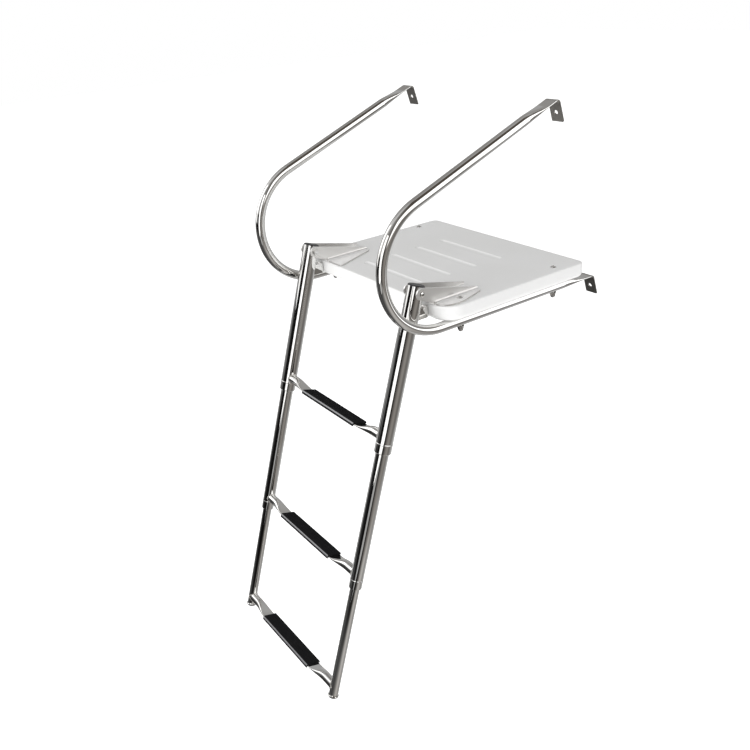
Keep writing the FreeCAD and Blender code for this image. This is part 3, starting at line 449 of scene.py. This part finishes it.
def weld_tree():
    """Two rings of overlapping weld beads, where a rung's ends meet its two tubes.

    The rings lie about the origin: X along the rung and Z up the tubes."""
    tree = bpy.data.node_groups.new("rung welds", "GeometryNodeTree")
    for name in ("Tube Radius", "Rung Radius", "Tube Distance", "Bead Radius", "Bead Spacing"):
        tree.interface.new_socket(name, in_out="INPUT", socket_type="NodeSocketFloat")
    tree.interface.new_socket("Finish", in_out="INPUT", socket_type="NodeSocketMaterial")
    tree.interface.new_socket("Geometry", in_out="OUTPUT", socket_type="NodeSocketGeometry")
    graph = Graph(tree)
    given = graph.add("NodeGroupInput").outputs()
    circle = graph.add("GeometryNodeCurvePrimitiveCircle",
                       sockets={"Resolution": WELD_RING_STEPS, "Radius": given["Rung Radius"]})
    at = graph.split(graph.add("GeometryNodeInputPosition"))
    reach_square = given["Tube Radius"] * given["Tube Radius"] - at["X"] * at["X"]
    reach = graph.maths("SQRT", graph.maths("MAXIMUM", reach_square, 0.0))
    on_tube = graph.join(reach, at["X"], at["Y"])
    saddle = graph.add("GeometryNodeSetPosition",
                       sockets={"Geometry": circle, "Position": on_tube})
    points = graph.add("GeometryNodeCurveToPoints", {"mode": "LENGTH"},
                       {"Curve": saddle, "Length": given["Bead Spacing"]})
    bead = graph.add("GeometryNodeMeshIcoSphere",
                     sockets={"Radius": given["Bead Radius"], "Subdivisions": 2})
    beads = graph.add("GeometryNodeInstanceOnPoints",
                      sockets={"Points": points, "Instance": bead,
                               "Rotation": points.outputs()["Rotation"],
                               "Scale": WELD_BEAD_SHAPE})
    ring = graph.add("GeometryNodeRealizeInstances", sockets={"Geometry": beads})
    to_tube = graph.join(-given["Tube Distance"], 0.0, 0.0)
    right = graph.add("GeometryNodeTransform",
                      sockets={"Geometry": ring, "Translation": to_tube})
    left = graph.add("GeometryNodeTransform",
                     sockets={"Geometry": right, "Rotation": (0.0, 0.0, math.pi)})
    both = graph.add("GeometryNodeJoinGeometry")
    for side in (right, left):
        graph.feed(both.socket.node.inputs[0], side)
    smooth = graph.add("GeometryNodeSetShadeSmooth", sockets={"Geometry": both})
    done = graph.add("GeometryNodeSetMaterial",
                     sockets={"Geometry": smooth, "Material": given["Finish"]})
    graph.add("NodeGroupOutput", sockets={"Geometry": done})
    return tree


def grown_mesh(name, tree, values):
    """Runs a Geometry Nodes tree with the given inputs and returns its plain mesh."""
    seed = bpy.data.objects.new(name, bpy.data.meshes.new(name))
    bpy.context.scene.collection.objects.link(seed)
    modifier = seed.modifiers.new("shape", "NODES")
    modifier.node_group = tree
    for item in tree.interface.items_tree:
        if item.item_type == "SOCKET" and item.in_out == "INPUT":
            modifier[item.identifier] = values[item.name]
    depsgraph = bpy.context.evaluated_depsgraph_get()
    mesh = bpy.data.meshes.new_from_object(seed.evaluated_get(depsgraph))
    bpy.data.objects.remove(seed)
    mesh.name = name
    return mesh


def place_piece(name, mesh, matrix, body):
    """Puts a mesh in place, as a piece that rides on a body."""
    mesh.transform(matrix)
    piece = bpy.data.objects.new(name, mesh)
    bpy.context.scene.collection.objects.link(piece)
    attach(piece, body)


def rung_place(section):
    """The middle of a section's rung, as a matrix with Z up the tubes and Y towards the boat."""
    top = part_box(section + "_rung")[1].z
    drop = (PIVOT.z - top + RUNG_RADIUS) / LADDER_UP.z
    turned = Matrix((Vector((1, 0, 0)), LADDER_BACK, LADDER_UP)).transposed().to_4x4()
    return Matrix.Translation(PIVOT - LADDER_UP * drop) @ turned


def rung_welds(finish):
    """The welds between each section's rung and its tubes."""
    tree = weld_tree()
    for section in ("upper", "middle", "lower"):
        low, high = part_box(section + "_tube_right")
        # A lower tube's rolled foot bead is wider than the tube, so the box gives no radius
        radius = LOWER_TUBE_RADIUS if section == "lower" else (high.x - low.x) / 2
        values = {"Tube Radius": radius, "Rung Radius": RUNG_RADIUS,
                  "Tube Distance": (high.x + low.x) / 2 - PIVOT.x,
                  "Bead Radius": WELD_BEAD_RADIUS, "Bead Spacing": WELD_BEAD_SPACING,
                  "Finish": finish}
        name = section + "_rung_welds"
        mesh = grown_mesh(name, tree, values)
        place_piece(name, mesh, rung_place(section), section + "_section")


def seen_in_steel(graph, way):
    """What polished steel sees one way: white boxes, with grey and dark gaps between them."""
    bearing = graph.maths("ARCTAN2", way["X"], -way["Y"]) * (180.0 / math.pi)
    height = graph.maths("ARCSINE", way["Z"]) * (180.0 / math.pi)

    def all_round(levels):
        stops = [((at + 180.0) / 360.0, grey(level, warmth)) for at, level, warmth in levels]
        return graph.add("ShaderNodeValToRGB", {"stops": stops}, {"Fac": bearing / 360.0 + 0.5})

    def patch(left, right, low, high):
        """1 inside a soft-edged patch and 0 outside it."""
        soft = PATCH_SOFTNESS
        return (graph.rise(bearing, left - soft, left + soft)
                * graph.fall(bearing, right - soft, right + soft)
                * graph.rise(height, low - soft, low + soft)
                * graph.fall(height, high - soft, high + soft))

    to_the_right = graph.maths("MINIMUM", graph.maths("MAXIMUM", bearing, 0.0), GROUND_SINKS_UP_TO)
    ground = graph.rise(-height - to_the_right * GROUND_SINKS, *GROUND_EDGE)
    above = graph.rise(height, *ABOVE_EDGE)
    seen = graph.mix(above, all_round(SEEN_LEVEL), all_round(SEEN_ABOVE))
    seen = graph.mix(ground, seen, all_round(SEEN_BELOW))
    for left, right, low, high, level in SEEN_PATCHES:
        seen = graph.mix(patch(left, right, low, high), seen, grey(level))
    past = graph.maths("MAXIMUM", bearing - SIDE_SINKS_FROM, 0.0)
    side = (graph.rise(bearing, *SIDE_LEFT_EDGE) * graph.fall(bearing, *SIDE_RIGHT_EDGE)
            * graph.rise(height + past * SIDE_SINKS, *SIDE_LOWER_EDGE)
            * graph.fall(height, *SIDE_UPPER_EDGE))
    return graph.mix(side, seen, grey(SIDE_BRIGHTNESS))


def matt_light(graph, way):
    """The even pale light that matt surfaces get from one way."""
    upward = graph.rise(way["Z"], start=-0.2, end=0.9)
    rightward = graph.rise(way["X"], start=0.1, end=0.9)
    forward = graph.rise(-way["Y"], start=-0.4, end=0.9)
    light = graph.mix(upward, grey(MATT_BELOW), grey(MATT_ABOVE))
    light = graph.mix(rightward * 0.8, light, grey(MATT_RIGHT))
    return graph.mix(forward * 0.7, light, grey(MATT_FRONT))


def studio():
    """The studio round the ladder, as a world. The camera sees it plain white."""
    world = bpy.data.worlds.new("studio")
    bpy.context.scene.world = world
    world.use_nodes = True
    world.node_tree.nodes.clear()
    graph = Graph(world.node_tree)
    way = graph.split(graph.add("ShaderNodeTexCoord").outputs()["Generated"])
    ray = graph.add("ShaderNodeLightPath").outputs()
    glossy = ray["Is Glossy Ray"]
    light = graph.mix(glossy, matt_light(graph, way), seen_in_steel(graph, way))
    light = graph.mix(ray["Is Camera Ray"], light, PLAIN_WHITE)
    strength = graph.between(glossy, low=1.0, high=STEEL_BRIGHTNESS)
    background = graph.add("ShaderNodeBackground", sockets={"Color": light, "Strength": strength})
    graph.add("ShaderNodeOutputWorld", sockets={"Surface": background})


def lamp(name, place, size, power):
    """An area light at place, seen by no camera."""
    light = bpy.data.lights.new(name, "AREA")
    light.shape = "RECTANGLE"
    light.size, light.size_y = size
    light.energy = power
    box = bpy.data.objects.new(name, light)
    bpy.context.scene.collection.objects.link(box)
    box.location = place
    box.visible_camera = False
    return box


def soft_box(name, offset, size, power):
    """A soft light for matt surfaces that aims at the ladder's middle, with no reflection."""
    box = lamp(name, MIDDLE + offset, (size, size), power)
    box.rotation_euler = (-offset).to_track_quat("-Z", "Y").to_euler()
    box.visible_glossy = False


def front_panel(name, left, right, low, high, radiance):
    """A white panel in front of the ladder, seen only in polished and glossy surfaces."""
    width = right - left
    height = high - low
    box = lamp(name, ((left + right) / 2, PANEL_PLACE, (low + high) / 2), (width, height),
               radiance * math.pi * width * height)
    box.rotation_euler = (math.pi / 2, 0.0, 0.0)
    box.visible_diffuse = False


def floor():
    """A plain pale floor under the hanging ladder."""
    material, graph, shader, place = new_material("pale floor")
    tone = graph.noise(place, scale=1.5)
    graph.feed(shader.inputs["Base Color"], graph.mix(tone, FLOOR_SHADE, FLOOR_PALE))
    shader.inputs["Roughness"].default_value = 0.9
    shader.inputs["Emission Color"].default_value = PLAIN_WHITE
    shader.inputs["Emission Strength"].default_value = FLOOR_GLOW
    z = solid_box[0][2] - FLOOR_BELOW_LADDER
    half = FLOOR_HALF_WIDTH
    corners = [(-half, -half, z), (half, -half, z), (half, half, z), (-half, half, z)]
    mesh = bpy.data.meshes.new("floor")
    mesh.from_pydata(corners, [], [(0, 1, 2, 3)])
    mesh.materials.append(material)
    plane = bpy.data.objects.new("floor", mesh)
    bpy.context.scene.collection.objects.link(plane)
    plane.visible_glossy = False


def camera():
    """The camera at the photograph's place and angle."""
    lens = bpy.data.cameras.new("camera")
    lens.sensor_width = SENSOR_WIDTH_MM
    lens.lens = FOCAL_LENGTH_PX / PHOTO_WIDTH_PX * SENSOR_WIDTH_MM
    viewer = bpy.data.objects.new("camera", lens)
    bpy.context.scene.collection.objects.link(viewer)
    level = Vector((math.cos(CAMERA_AZIMUTH), math.sin(CAMERA_AZIMUTH), 0))
    ahead = Vector((-level.y, level.x, 0))
    forward = ahead * math.cos(CAMERA_DOWN) - Vector((0, 0, math.sin(CAMERA_DOWN)))
    upright = level.cross(forward)
    right = level * math.cos(CAMERA_ROLL) + upright * math.sin(CAMERA_ROLL)
    up = upright * math.cos(CAMERA_ROLL) - level * math.sin(CAMERA_ROLL)
    turned = Matrix((right, up, -forward)).transposed().to_4x4()
    viewer.matrix_world = Matrix.Translation(CAMERA_PLACE) @ turned
    bpy.context.scene.camera = viewer


dress_nodes({"polished_stainless": polished_steel(), "platform_plastic": platform_plastic(),
             "tread_rubber": tread_rubber(), "black_plastic": black_plastic(),
             "guide_plastic": guide_plastic()}, plate_steel())
rung_welds(weld_steel())
studio()
for name, (offset, size, power) in SOFT_BOXES.items():
    soft_box(name, Vector(offset), size, power)
for name, (left, right, low, high, radiance) in FRONT_PANELS.items():
    front_panel(name, left, right, low, high, radiance)
floor()
camera()
bpy.context.scene.view_settings.view_transform = "Standard"
